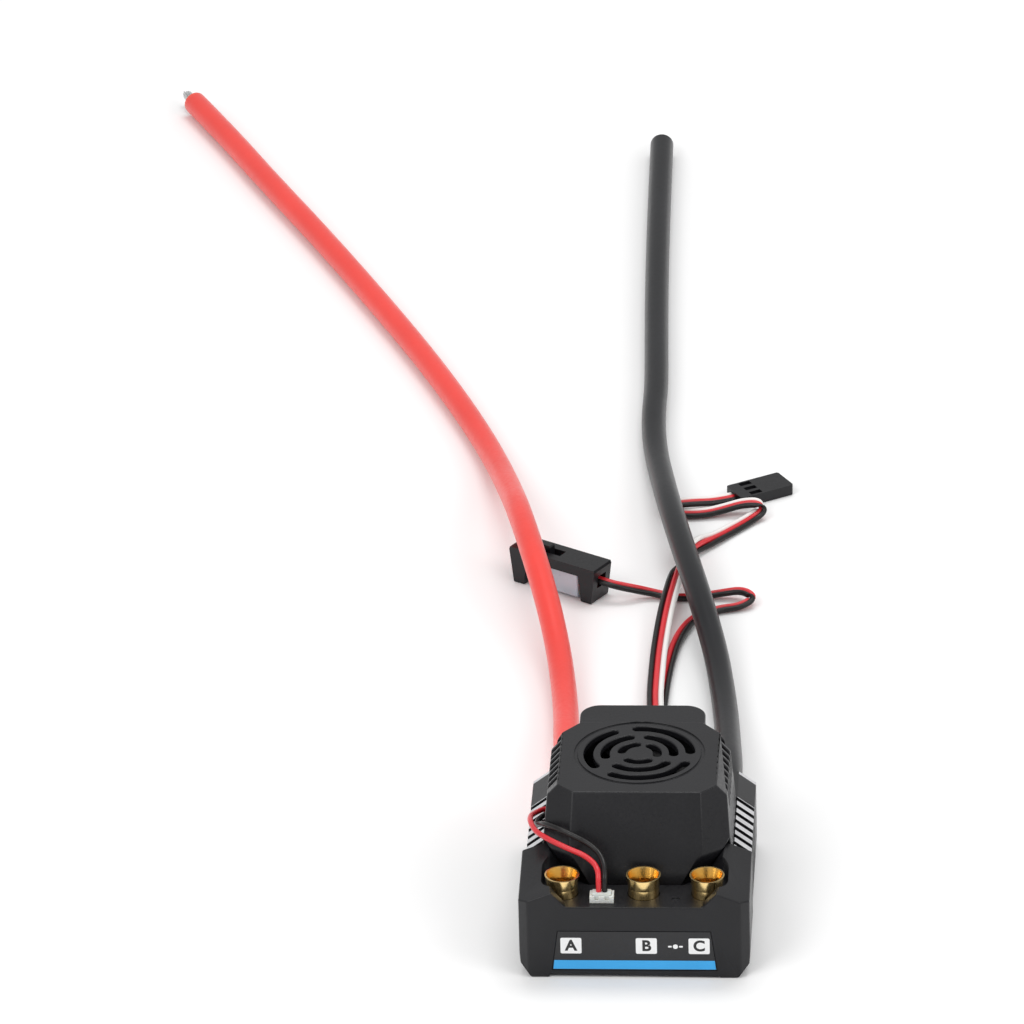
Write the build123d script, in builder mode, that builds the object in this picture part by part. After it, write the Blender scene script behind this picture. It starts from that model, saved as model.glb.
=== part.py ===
from build123d import *
import math
import os

os.makedirs("parts", exist_ok=True)

# ---------------------------------------------------------------- driving sizes, mm
case_half_w = 25.0        # half width over the front cover
sink_half_w = 24.6        # half width over the cooling fins
y_front = -30.0           # label face
y_joint = -9.3            # where the plastic front cover meets the aluminium case
y_rear = 30.5             # rear face of the aluminium case
plate_t = 1.8             # base plate thickness
sink_top = 18.1           # flat top of the aluminium case
shoulder_z = 15.3         # outer edge of the sloping fin shoulder
shoulder_x = 20.9         # inner edge of the sloping fin shoulder
channel_z = 17.1          # floor of the socket channel
top_z = 34.0              # shroud top plate
shroud_t = 1.6            # shroud top thickness
fin_pitch = 3.3
fin_gap = 1.5
fin_count = 8
fan_y = 8.9               # fan axis
fan_size = 29.8           # 30 mm fan
fan_z0 = 21.3
fan_h = 10.0
socket_bore_r = 2.8       # 5.5 mm bullet socket
socket_body_r = 3.4
socket_rim_r = 3.76
socket_top = 21.7
socket_y = -23.4
socket_x = (-15.65, 1.95, 15.7)
board_z = 9.3             # underside of the power board
board_t = 1.6
lead_r = 2.9              # battery lead, 5.8 mm over the silicone
lead_x = 18.2
lead_z = 9.0
grommet_out = 31.7        # outer face of the lead grommets
servo_r = 1.15            # three-core servo cable taken as one round tube of equal section
switch_r = 0.95           # two-core switch cable taken the same way
fan_wire_r = 0.6

# ---------------------------------------------------------------- cord routes, mm
red_route = [
    (-18.2, 31.7, 9.0), (-18.2, 42.0, 9.0), (-18.5, 53.5, 8.4), (-19.4, 67.6, 6.6), (-20.0, 81.0, 4.5),
    (-21.3, 96.0, 4.0), (-23.3, 111.0, 6.6), (-27.0, 127.0, 12.0), (-31.8, 145.0, 17.6), (-36.6, 166.0, 17.6),
    (-39.1, 184.0, 11.4), (-41.4, 202.0, 5.6), (-46.0, 221.0, 2.95), (-53.8, 243.0, 2.95), (-64.0, 269.0, 2.95),
    (-78.0, 301.0, 2.95), (-93.9, 336.0, 2.95), (-109.5, 368.0, 2.95), (-120.6, 393.0, 2.95), (-131.0, 414.0, 2.95),
]
black_route = [
    (18.2, 31.7, 9.0), (18.2, 41.5, 9.0), (18.0, 52.0, 8.2), (17.3, 64.5, 6.3), (16.3, 79.0, 4.4),
    (14.9, 95.0, 4.2), (12.0, 113.0, 6.4), (7.4, 133.0, 11.2), (2.8, 156.0, 11.9), (-0.8, 180.0, 11.2),
    (-2.6, 201.0, 6.6), (-4.3, 221.0, 3.4), (-5.8, 241.0, 2.95), (-6.5, 268.0, 2.95), (-7.9, 301.0, 2.95),
    (-8.9, 336.0, 2.95), (-10.1, 364.0, 2.95), (-10.3, 389.0, 2.95),
]
servo_route = [
    (3.4, 31.7, 6.0), (3.4, 40.5, 6.0), (3.2, 49.5, 5.2), (2.4, 60.0, 3.4), (1.2, 73.0, 1.9),
    (-0.5, 91.5, 1.3), (-0.6, 106.0, 1.3), (-0.4, 120.0, 2.4), (0.3, 133.0, 6.1), (2.2, 149.5, 6.1),
    (3.2, 159.5, 2.6), (5.8, 168.0, 1.3), (10.7, 175.5, 1.3), (15.7, 182.0, 1.3), (18.8, 185.6, 1.3),
    (22.4, 189.0, 1.3), (19.2, 192.5, 1.3), (14.4, 190.4, 1.3), (9.0, 188.6, 1.3), (4.6, 188.1, 1.3),
    (0.4, 189.2, 1.3), (0.6, 193.6, 1.3), (5.0, 193.9, 1.3), (10.0, 193.5, 1.3), (14.2, 196.05, 1.27),
]
switch_route = [
    (7.2, 31.7, 6.0), (7.2, 40.5, 6.0), (7.0, 49.5, 5.0), (6.2, 60.5, 3.0), (4.6, 73.5, 1.3), (2.6, 87.0, 1.0),
    (1.6, 99.7, 1.0), (1.9, 111.8, 1.0), (3.1, 123.6, 1.0), (5.6, 132.5, 1.0), (9.4, 138.0, 1.0),
    (14.6, 140.4, 1.0), (20.0, 140.6, 1.0), (22.9, 143.6, 1.0), (19.9, 146.6, 1.0), (14.2, 146.0, 1.0),
    (8.4, 144.8, 1.0), (2.4, 145.4, 1.0), (-3.2, 147.3, 1.5), (-8.2, 145.6, 3.2), (-13.2, 145.1, 4.6),
    (-18.76, 148.59, 5.0),
]
fan_red_route = [
    (-19.0, 8.6, 20.1), (-21.3, 8.4, 20.2), (-23.0, 5.0, 21.0), (-23.6, 0.2, 23.0), (-23.4, -5.6, 24.9),
    (-21.9, -11.2, 25.4), (-18.5, -15.4, 25.6), (-14.4, -18.1, 25.0), (-11.0, -19.8, 24.4), (-8.7, -22.2, 23.8),
    (-7.7, -24.8, 23.2), (-7.6, -26.4, 21.6), (-7.6, -26.4, 19.2),
]
fan_black_route = [
    (-19.0, 6.3, 20.1), (-21.2, 6.0, 20.0), (-22.4, 2.6, 20.1), (-22.4, -1.8, 21.6), (-21.7, -6.2, 24.4),
    (-20.0, -10.9, 27.2), (-16.9, -14.4, 28.0), (-13.2, -16.6, 27.3), (-9.9, -17.9, 26.1), (-7.5, -20.2, 25.0),
    (-6.4, -23.4, 24.0), (-6.3, -26.4, 22.0), (-6.3, -26.4, 19.2),
]


def cord_radii(points):
    """Arc radius at each inner point: 0.45 of the shorter run over the tangent of half the turn."""
    radii = []
    for a, b, c in zip(points, points[1:], points[2:]):
        v1, v2 = Vector(*b) - Vector(*a), Vector(*c) - Vector(*b)
        half = math.radians(v1.get_angle(v2) / 2)
        radii.append(0.45 * min(v1.length, v2.length) / math.tan(half))
    return radii


def report_cord(name, points, part, radius):
    runs = [(Vector(*b) - Vector(*a)).length for a, b in zip(points, points[1:])]
    section = math.pi * radius * radius
    print(name, "runs", [round(r, 1) for r in runs], "radii", [round(r, 1) for r in cord_radii(points)],
          "length from volume", round(part.volume / section, 1))


# ================================================================ base plate
base_bosses = [(-13.0, -15.0), (13.0, -15.0), (-13.0, 13.0), (13.0, 13.0)]
case_screw_spots = [(-17.0, -5.0), (17.0, -5.0), (-17.0, 16.5), (17.0, 16.5)]
with BuildPart() as base_plate:
    with BuildSketch(Plane.XY):
        with BuildLine():
            Polyline((-24.4, y_joint + 0.2), (-24.4, y_rear - 0.2), (24.4, y_rear - 0.2), (24.4, y_joint + 0.2),
                     (22.9, y_joint + 0.2), (22.9, -26.6), (21.5, -28.0), (-21.5, -28.0),
                     (-22.9, -26.6), (-22.9, y_joint + 0.2), close=True)
        make_face()
    extrude(amount=plate_t)
    low_sides = base_plate.edges().filter_by(Axis.Y).group_by(Axis.Z)[0]
    chamfer([e for e in low_sides if abs(e.center().X) > 24.0], length=1.4)
    with BuildSketch(Plane.XY.offset(plate_t)):
        with Locations(*base_bosses):
            Circle(1.9)
    extrude(amount=2.4)
    with Locations(*[Location((x, y, 4.2)) for x, y in base_bosses]):
        Hole(radius=0.7, depth=3.4)
    with Locations(*[Location((x, y, 0), (180, 0, 0)) for x, y in case_screw_spots]):
        CounterSinkHole(radius=1.25, counter_sink_radius=2.3, counter_sink_angle=90)
base_plate.part.label = "base_plate"
export_step(base_plate.part, "parts/base_plate.step")

# ================================================================ countersunk case screws
with BuildPart() as case_screws:
    for sx, sy in case_screw_spots:
        with BuildSketch(Plane(origin=(sx, sy, 0), x_dir=(1, 0, 0), z_dir=(0, -1, 0))):
            with BuildLine():
                Polyline((0, 0.12), (1.95, 0.12), (1.95, 0.25), (1.1, 1.1), (1.1, 6.4), (0, 6.9), close=True)
            make_face()
        revolve(axis=Axis((sx, sy, 0), (0, 0, 1)))
        with BuildSketch(Plane.XY):
            with Locations((sx, sy)):
                RegularPolygon(0.75, 6)
        extrude(amount=1.1, mode=Mode.SUBTRACT)
case_screws.part.label = "case_screws"
export_step(case_screws.part, "parts/case_screws.step")

# ================================================================ finned aluminium case
with BuildPart() as heatsink_case:
    with BuildSketch(Plane.XZ.offset(-y_rear)):
        with BuildLine():
            Polyline((-sink_half_w, plate_t), (-sink_half_w, shoulder_z), (-shoulder_x, sink_top),
                     (shoulder_x, sink_top), (sink_half_w, shoulder_z), (sink_half_w, plate_t), close=True)
        make_face()
    extrude(amount=y_rear - y_joint)
    rear_rim = heatsink_case.faces().sort_by(Axis.Y)[-1].edges()
    chamfer([e for e in rear_rim if e.center().Z > plate_t + 0.5], length=0.7)
    # electronics bay, open below and towards the front cover
    with BuildSketch(Plane.XY.offset(plate_t)):
        with Locations((0, (y_joint + y_rear - 4) / 2)):
            Rectangle(37.8, y_rear - 4 - y_joint)
        with Locations((-18.4, y_rear - 6.75), (18.4, y_rear - 6.75)):
            Rectangle(7.2, 5.5)
    extrude(amount=12.9 - plate_t, mode=Mode.SUBTRACT)
    # screw bosses in the bay
    with BuildSketch(Plane.XY.offset(plate_t)):
        with Locations(*case_screw_spots):
            Circle(2.5)
    extrude(amount=12.9 - plate_t)
    with Locations(*[Location((x, y, plate_t), (180, 0, 0)) for x, y in case_screw_spots]):
        Hole(radius=1.18, depth=6.4)
    # side cooling fins
    with BuildSketch(Plane.XY.offset(3.2)):
        with Locations((22.7, -5.9 + fin_pitch * (fin_count - 1) / 2), (-22.7, -5.9 + fin_pitch * (fin_count - 1) / 2)):
            with GridLocations(10, fin_pitch, 1, fin_count):
                Rectangle(4.8, fin_gap)
    extrude(amount=18, mode=Mode.SUBTRACT)
    # blades under the fan
    with BuildSketch(Plane.XY.offset(sink_top)):
        with Locations((0, fan_y)):
            with GridLocations(10, 3.1, 1, 8):
                Rectangle(20.8, 1.1)
    extrude(amount=2.4)
    # posts that carry the fan corners
    with BuildSketch(Plane.XY.offset(sink_top)):
        with Locations((0, fan_y)):
            with GridLocations(24, 24, 2, 2):
                Circle(2.2)
                Circle(1.25, mode=Mode.SUBTRACT)
    extrude(amount=fan_z0 - 0.02 - sink_top)
    # rear lead bores and cable slot
    with Locations(*[Location((x, y_rear, lead_z), (-90, 0, 0)) for x in (-lead_x, lead_x)]):
        Hole(radius=3.65, depth=6)
    with BuildSketch(Plane.XZ.offset(-y_rear)):
        with Locations((5.2, 6.0)):
            RectangleRounded(10.4, 4.0, 1.4)
    extrude(amount=6, mode=Mode.SUBTRACT)
    # capacitor leg slots through the rear of the top
    with BuildSketch(Plane.XY.offset(11)):
        with Locations((-8.6, 24.9), (0, 24.9), (8.6, 24.9)):
            SlotOverall(5.6, 1.6)
    extrude(amount=9, mode=Mode.SUBTRACT)
heatsink_case.part.label = "heatsink_case"
export_step(heatsink_case.part, "parts/heatsink_case.step")

# ================================================================ front cover
block_rise = 0.40         # rise of the corner block tops towards the middle
block_run = 0.105         # rise of the corner block tops towards the rear
with BuildPart() as front_cover:
    with BuildSketch(Plane.XZ.offset(-(y_joint - 0.1))):
        with BuildLine():
            Polyline((-22.4, 0), (-24.8, 2.4), (-25, 5), (-25, 23), (25, 23), (25, 5), (24.8, 2.4), (22.4, 0), close=True)
        make_face()
    extrude(amount=(y_joint - 0.1) - y_front)
    for s in (-1, 1):
        split(bisect_by=Plane(origin=(s * 25, -29, 17.8), z_dir=(s * block_rise, -block_run, 1)), keep=Keep.BOTTOM)
        split(bisect_by=Plane(origin=(s * 25, y_front + 1.9, 0), z_dir=(s * 1, -1.05, 0)), keep=Keep.BOTTOM)
    # hollow underneath
    with BuildSketch(Plane.XY):
        with BuildLine():
            Polyline((-23.1, y_joint), (-23.1, -26.6), (-21.6, -28.2), (21.6, -28.2), (23.1, -26.6), (23.1, y_joint), close=True)
        make_face()
    extrude(amount=15.3, mode=Mode.SUBTRACT)
    # socket channel with sloping sides
    with BuildSketch(Plane.XZ.offset(-y_joint)):
        with BuildLine():
            Polyline((-14.8, channel_z), (-20.2, 23.1), (20.2, 23.1), (14.8, channel_z), close=True)
        make_face()
    extrude(amount=22, mode=Mode.SUBTRACT)
    # wells round the outer sockets
    with BuildSketch(Plane.XY.offset(channel_z)):
        for s in (-1, 1):
            with Locations((s * 15.65, -20.9)):
                SlotCenterToCenter(4.6, 9.2, rotation=90)
    extrude(amount=8, mode=Mode.SUBTRACT)
    # socket, header and light pipe openings
    with BuildSketch(Plane.XY.offset(14)):
        with Locations(*[(x, socket_y) for x in socket_x]):
            Circle(3.55)
        with Locations((-6.95, -26.4)):
            Rectangle(5.4, 3.2)
        with Locations((9.0, -25.9)):
            SlotOverall(1.9, 1.1)
    extrude(amount=4, mode=Mode.SUBTRACT)
    # recess for the label film
    with BuildSketch(Plane.XZ.offset(-y_front)):
        with BuildLine():
            Polyline((-16.6, 11.3), (16.6, 11.3), (17.9, 1.6), (-17.9, 1.6), close=True)
        make_face()
    extrude(amount=-0.3, mode=Mode.SUBTRACT)
    # shallow relief along the middle of the lower edge
    with BuildSketch(Plane.XZ.offset(-y_front)):
        with Locations((0, 0)):
            Rectangle(37, 1.0)
    extrude(amount=-0.9, mode=Mode.SUBTRACT)
front_cover.part.label = "front_cover"
export_step(front_cover.part, "parts/front_cover.step")

# ================================================================ label film
with BuildPart() as label_plate:
    with BuildSketch(Plane.XZ.offset(-(y_front + 0.3))):
        with BuildLine():
            Polyline((-16.45, 11.15), (16.45, 11.15), (17.72, 1.75), (-17.72, 1.75), close=True)
        make_face()
    extrude(amount=0.24)
label_plate.part.label = "label_plate"
export_step(label_plate.part, "parts/label_plate.step")

# ================================================================ fan shroud
front_pt = (-8.95, top_z)            # front edge of the top plate
foot_pt = (-19.9, channel_z + 0.05)  # foot of the sloping front
with BuildPart() as fan_shroud:
    with BuildSketch(Plane.YZ.offset(-22)):
        with BuildLine():
            Polyline(front_pt, (23.2, top_z), (24.4, sink_top), (y_joint - 0.2, sink_top), (y_joint - 0.2, channel_z + 0.05),
                     (-12.0, channel_z + 0.05), foot_pt, close=True)
        make_face()
    extrude(amount=44)
    with BuildSketch(Plane.XZ.offset(-40)):
        with BuildLine():
            Polyline((-20.75, 16), (-20.6, 20), (-19.6, 31.2), (-17.2, top_z), (17.2, top_z), (19.6, 31.2),
                     (20.6, 20), (20.75, 16), close=True)
        make_face()
    extrude(amount=80, mode=Mode.INTERSECT)
    for s in (-1, 1):
        # front corner facet, rear corner chamfer, channel slope, facet behind the outer socket
        split(bisect_by=Plane(origin=(s * 13.9, -8.95, top_z), z_dir=(s * 33.5, -33.0, 23.4)), keep=Keep.BOTTOM)
        split(bisect_by=Plane(origin=(s * 13.4, 23.2, top_z), z_dir=(s * 4.5, 3.7, 0.5)), keep=Keep.BOTTOM)
        split(bisect_by=Plane(origin=(s * 15.2, -15.3, 24.2), z_dir=(s * 0.66, -0.75, 0.02)), keep=Keep.BOTTOM)
    # relief where the shroud stands in the socket channel
    for s in (-1, 1):
        with BuildSketch(Plane.XZ.offset(-(y_joint - 0.0))):
            with BuildLine():
                Polyline((s * 14.6, 16.5), (s * 14.6, channel_z), (s * 20.6, 23.76), (s * 24, 23.76), (s * 24, 16.5), close=True)
            make_face()
        extrude(amount=14, mode=Mode.SUBTRACT)
    # rear hood over the capacitors
    with BuildSketch(Plane.XY.offset(sink_top)):
        with BuildLine():
            Polyline((-13.8, 21.0), (-13.8, 32.2), (13.8, 32.2), (13.8, 21.0), close=True)
        make_face()
    extrude(amount=33.4 - sink_top)
    hood_corners = fan_shroud.edges().filter_by(Axis.Z).filter_by(lambda e: e.center().Y > 31.9)
    fillet(hood_corners, radius=4.6)
    # fan room
    with BuildSketch(Plane.XY.offset(16)):
        with Locations((0, 8.6)):
            Rectangle(31.0, 31.2)
    extrude(amount=top_z - shroud_t - 16, mode=Mode.SUBTRACT)
    # room for the capacitors
    with BuildSketch(Plane.XY.offset(16)):
        with BuildLine():
            Polyline((-12.4, 20.0), (-12.4, 30.9), (12.4, 30.9), (12.4, 20.0), close=True)
        make_face()
        fillet(vertices().group_by(Axis.Y)[-1], radius=3.2)
    extrude(amount=32.0 - 16, mode=Mode.SUBTRACT)
    # hollow behind the sloping front
    with BuildSketch(Plane.YZ.offset(-8.6)):
        with BuildLine():
            Polyline((-6.0, 32.2), (-7.9, 32.2), (-17.2, 18.6), (-6.0, 18.6), close=True)
        make_face()
    extrude(amount=17.2, mode=Mode.SUBTRACT)
    # side louvres
    for s in (-1, 1):
        with BuildSketch(Plane.XY.offset(26.6)):
            with Locations((s * 19.4, 8.7)):
                with GridLocations(10, 2.6, 1, 9):
                    Rectangle(4.2, 1.4)
        extrude(amount=8, mode=Mode.SUBTRACT)
        with BuildSketch(Plane.XY.offset(27.4)):
            with Locations((s * 17.0, 8.7)):
                with GridLocations(10, 2.6, 1, 9):
                    Rectangle(4.6, 1.4)
        extrude(amount=4.4, mode=Mode.SUBTRACT)
    # grille: three rings of three curved slots
    for ring_r, ring_w, spans in (
        (11.15, 2.05, ((4.4, 94.6), (122.4, 211.6), (240.4, 335.6))),
        (7.5, 1.95, ((-1.9, 76.9), (108.1, 191.9), (231.1, 322.9))),
        (3.95, 1.8, ((-9.0, 56.0), (101.0, 169.0), (233.0, 301.0))),
    ):
        for a0, a1 in spans:
            with BuildSketch(Plane.XY.offset(top_z - 3)):
                with Locations((0, fan_y)):
                    SlotArc(CenterArc((0, 0), ring_r, a0, a1 - a0), height=ring_w)
            extrude(amount=4, mode=Mode.SUBTRACT)
    # shallow ring round the grille
    with BuildSketch(Plane.XY.offset(top_z - 0.3)):
        with Locations((0, fan_y)):
            Circle(14.3)
            Circle(13.5, mode=Mode.SUBTRACT)
    extrude(amount=1, mode=Mode.SUBTRACT)
    # notch for the fan wires, low on the left side
    with BuildSketch(Plane.YZ.offset(-22)):
        with Locations((7.45, 20.1)):
            SlotOverall(4.4, 2.2, rotation=0)
    extrude(amount=7, mode=Mode.SUBTRACT)
fan_shroud.part.label = "fan_shroud"
export_step(fan_shroud.part, "parts/fan_shroud.step")

# ================================================================ cooling fan
fan_top = fan_z0 + fan_h
with BuildPart() as fan_frame:
    with BuildSketch(Plane.XY.offset(fan_z0)):
        with Locations((0, fan_y)):
            RectangleRounded(fan_size, fan_size, 2.4)
            Circle(13.9, mode=Mode.SUBTRACT)
    extrude(amount=fan_h)
    with BuildSketch(Plane.XY.offset(fan_z0)):
        with Locations((0, fan_y)):
            Circle(8.2)
            with PolarLocations(10.9, 4, start_angle=45):
                Rectangle(7.4, 1.6)
    extrude(amount=1.1)
    with BuildSketch(Plane.XY.offset(fan_z0 + 1.1)):
        with Locations((0, fan_y)):
            Circle(2.5)
            Circle(1.66, mode=Mode.SUBTRACT)
    extrude(amount=5.2)
    with BuildSketch(Plane.XY.offset(fan_z0 - 1)):
        with Locations((0, fan_y)):
            with GridLocations(24, 24, 2, 2):
                Circle(1.55)
    extrude(amount=fan_h + 2, mode=Mode.SUBTRACT)
fan_frame.part.label = "fan_frame"
export_step(fan_frame.part, "parts/fan_frame.step")

with BuildPart() as fan_screws:
    for sx, sy in ((-12, fan_y - 12), (12, fan_y + 12)):
        with BuildSketch(Plane(origin=(sx, sy, 0), x_dir=(1, 0, 0), z_dir=(0, -1, 0))):
            with BuildLine():
                Polyline((0, sink_top + 0.1), (1.2, sink_top + 0.1), (1.2, fan_top + 0.05), (2.3, fan_top + 0.05),
                         (2.1, fan_top + 0.95), (0, fan_top + 1.0), close=True)
            make_face()
        revolve(axis=Axis((sx, sy, 0), (0, 0, 1)))
fan_screws.part.label = "fan_screws"
export_step(fan_screws.part, "parts/fan_screws.step")

with BuildPart() as fan_bearing:
    with BuildSketch(Plane.XY.offset(fan_z0 + 1.2)):
        with Locations((0, fan_y)):
            Circle(1.63)
            Circle(0.79, mode=Mode.SUBTRACT)
    extrude(amount=5.0)
fan_bearing.part.label = "fan_bearing"
export_step(fan_bearing.part, "parts/fan_bearing.step")

with BuildPart() as fan_stator:
    with BuildSketch(Plane.XY.offset(fan_z0 + 1.5)):
        with Locations((0, fan_y)):
            Circle(3.4)
            with PolarLocations(4.2, 4):
                Rectangle(2.6, 1.7)
            with PolarLocations(5.1, 4):
                Rectangle(0.7, 3.4)
            Circle(2.53, mode=Mode.SUBTRACT)
    extrude(amount=4.2)
fan_stator.part.label = "fan_stator"
export_step(fan_stator.part, "parts/fan_stator.step")

with BuildPart() as fan_shaft:
    with BuildSketch(Plane.XY.offset(fan_z0 + 1.3)):
        with Locations((0, fan_y)):
            Circle(0.75)
    extrude(amount=6.8)
fan_shaft.part.label = "fan_shaft"
export_step(fan_shaft.part, "parts/fan_shaft.step")

with BuildPart() as fan_magnet:
    with BuildSketch(Plane.XY.offset(fan_z0 + 1.9)):
        with Locations((0, fan_y)):
            Circle(6.85)
            Circle(5.9, mode=Mode.SUBTRACT)
    extrude(amount=4.4)
fan_magnet.part.label = "fan_magnet"
export_step(fan_magnet.part, "parts/fan_magnet.step")

blade_n = 7
with BuildPart() as fan_rotor:
    with BuildSketch(Plane.XY.offset(fan_z0 + 1.6)):
        with Locations((0, fan_y)):
            Circle(7.8)
            Circle(6.9, mode=Mode.SUBTRACT)
    extrude(amount=6.6)
    with BuildSketch(Plane.XY.offset(fan_z0 + 8.2)):
        with Locations((0, fan_y)):
            Circle(7.8)
    extrude(amount=1.2)
    fillet(fan_rotor.edges().filter_by(GeomType.CIRCLE).group_by(Axis.Z)[-1], radius=0.6)
    with BuildSketch(Plane.XY.offset(fan_z0 + 6.6)):
        with Locations((0, fan_y)):
            Circle(1.9)
            Circle(0.76, mode=Mode.SUBTRACT)
    extrude(amount=1.7)
    for k in range(blade_n):
        a = math.radians(360 / blade_n * k + 8)
        radial = (math.cos(a), math.sin(a), 0)
        tangent = (-math.sin(a), math.cos(a), 0)
        root = (7.3 * radial[0], fan_y + 7.3 * radial[1], fan_z0 + 5.2)
        tip = (13.3 * radial[0], fan_y + 13.3 * radial[1], fan_z0 + 5.2)
        with BuildSketch(Plane(origin=root, x_dir=tangent, z_dir=radial)):
            Rectangle(6.2, 0.8, rotation=46)
        with BuildSketch(Plane(origin=tip, x_dir=tangent, z_dir=radial)):
            Rectangle(8.6, 0.7, rotation=28)
        loft()
fan_rotor.part.label = "fan_rotor"
export_step(fan_rotor.part, "parts/fan_rotor.step")

# ================================================================ phase sockets, gold plated, bored from above
sockets = {}
for letter, sx in zip("abc", socket_x):
    with BuildPart() as socket:
        with BuildSketch(Plane(origin=(sx, socket_y, 0), x_dir=(1, 0, 0), z_dir=(0, -1, 0))):
            with BuildLine():
                Polyline((0, board_z + board_t), (socket_body_r, board_z + board_t), (socket_body_r, socket_top - 2.6),
                         (socket_rim_r, socket_top), (socket_rim_r - 0.35, socket_top), (socket_bore_r, socket_top - 2.4),
                         (socket_bore_r, socket_top - 9.6), (0, socket_top - 9.6), close=True)
            make_face()
        revolve(axis=Axis((sx, socket_y, 0), (0, 0, 1)))
    socket.part.label = "phase_socket_" + letter
    export_step(socket.part, "parts/phase_socket_" + letter + ".step")
    sockets[letter] = socket.part

# ================================================================ boards and electronics
with BuildPart() as power_board:
    with BuildSketch(Plane.XY.offset(board_z)):
        with Locations((0, -1.9)):
            Rectangle(36.8, 51.4)
        with Locations((0, 24.0)):
            Rectangle(28.0, 4.2)
        with Locations((0, -18.4)):
            Rectangle(42.0, 17.6)
        with Locations(*case_screw_spots):
            Circle(2.9, mode=Mode.SUBTRACT)
        with Locations((-8.6, 24.9), (0, 24.9), (8.6, 24.9)):
            with GridLocations(3.5, 10, 2, 1):
                Circle(0.4, mode=Mode.SUBTRACT)
    extrude(amount=board_t)
power_board.part.label = "power_board"
export_step(power_board.part, "parts/power_board.step")

with BuildPart() as mosfets:
    with BuildSketch(Plane.XY.offset(board_z + board_t)):
        with Locations((0, 6.2)):
            with GridLocations(5.9, 7.4, 5, 3):
                Rectangle(5.0, 6.0)
    extrude(amount=1.0)
mosfets.part.label = "mosfets"
export_step(mosfets.part, "parts/mosfets.step")

with BuildPart() as thermal_pad:
    with BuildSketch(Plane.XY.offset(board_z + board_t + 1.0)):
        with Locations((0, 6.2)):
            Rectangle(28.8, 21.6)
    extrude(amount=1.0)
thermal_pad.part.label = "thermal_pad"
export_step(thermal_pad.part, "parts/thermal_pad.step")

with BuildPart() as control_board:
    with BuildSketch(Plane.XY.offset(4.2)):
        with Locations((0, -1.0)):
            Rectangle(30.0, 36.0)
        with Locations(*base_bosses):
            Circle(0.95, mode=Mode.SUBTRACT)
        with Locations(*case_screw_spots):
            Circle(2.9, mode=Mode.SUBTRACT)
    extrude(amount=1.2)
control_board.part.label = "control_board"
export_step(control_board.part, "parts/control_board.step")

with BuildPart() as board_screws:
    for sx, sy in base_bosses:
        with BuildSketch(Plane(origin=(sx, sy, 0), x_dir=(1, 0, 0), z_dir=(0, -1, 0))):
            with BuildLine():
                Polyline((0, 1.2), (0.66, 1.4), (0.66, 5.42), (1.5, 5.42), (1.3, 6.4), (0, 6.5), close=True)
            make_face()
        revolve(axis=Axis((sx, sy, 0), (0, 0, 1)))
board_screws.part.label = "board_screws"
export_step(board_screws.part, "parts/board_screws.step")

with BuildPart() as control_chips:
    with BuildSketch(Plane.XY.offset(5.4)):
        with Locations((0, 4.0)):
            Rectangle(7.0, 7.0)
        with Locations((-8.0, -6.0), (0, -6.0), (8.0, -6.0)):
            Rectangle(4.0, 5.0)
    extrude(amount=1.0)
control_chips.part.label = "control_chips"
export_step(control_chips.part, "parts/control_chips.step")

with BuildPart() as bec_inductor:
    with BuildSketch(Plane.XY.offset(5.4)):
        with Locations((-9.6, 5.5)):
            RectangleRounded(6.4, 6.4, 1.2)
    extrude(amount=3.0)
bec_inductor.part.label = "bec_inductor"
export_step(bec_inductor.part, "parts/bec_inductor.step")

with BuildPart() as board_pins:
    with BuildSketch(Plane.XY.offset(5.4)):
        with Locations((0, -17.3)):
            with GridLocations(2.0, 10, 9, 1):
                Rectangle(0.5, 0.5)
    extrude(amount=board_z - 5.4)
board_pins.part.label = "board_pins"
export_step(board_pins.part, "parts/board_pins.step")

with BuildPart() as bus_capacitors:
    for cx in (-8.6, 0, 8.6):
        with BuildSketch(Plane(origin=(cx, 27.3, 0), x_dir=(1, 0, 0), z_dir=(0, -1, 0))):
            with BuildLine():
                Polyline((0, sink_top + 0.3), (3.2, sink_top + 0.3), (3.2, sink_top + 1.3), (3.0, sink_top + 1.6),
                         (3.2, sink_top + 1.9), (3.2, 30.4), (2.9, 30.7), (0, 30.7), close=True)
            make_face()
        revolve(axis=Axis((cx, 27.3, 0), (0, 0, 1)))
bus_capacitors.part.label = "bus_capacitors"
export_step(bus_capacitors.part, "parts/bus_capacitors.step")

with BuildPart() as capacitor_legs:
    for cx in (-8.6, 0, 8.6):
        with BuildSketch(Plane.XY.offset(board_z)):
            with Locations((cx - 1.75, 24.9), (cx + 1.75, 24.9)):
                Circle(0.35)
        extrude(amount=sink_top + 0.3 - board_z)
capacitor_legs.part.label = "capacitor_legs"
export_step(capacitor_legs.part, "parts/capacitor_legs.step")

with BuildPart() as status_led:
    with BuildSketch(Plane.XY.offset(board_z + board_t)):
        with Locations((9.0, -25.9)):
            Rectangle(1.6, 0.8)
    extrude(amount=0.7)
status_led.part.label = "status_led"
export_step(status_led.part, "parts/status_led.step")

with BuildPart() as led_light_pipe:
    with BuildSketch(Plane.XY.offset(board_z + board_t + 0.9)):
        with Locations((9.0, -25.9)):
            SlotOverall(1.8, 1.0)
    extrude(amount=channel_z - 0.25 - (board_z + board_t + 0.9))
    with BuildSketch(Plane.XY.offset(14.3)):
        with Locations((9.0, -25.9)):
            SlotOverall(3.0, 2.2)
    extrude(amount=0.95)
led_light_pipe.part.label = "led_light_pipe"
export_step(led_light_pipe.part, "parts/led_light_pipe.step")

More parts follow.
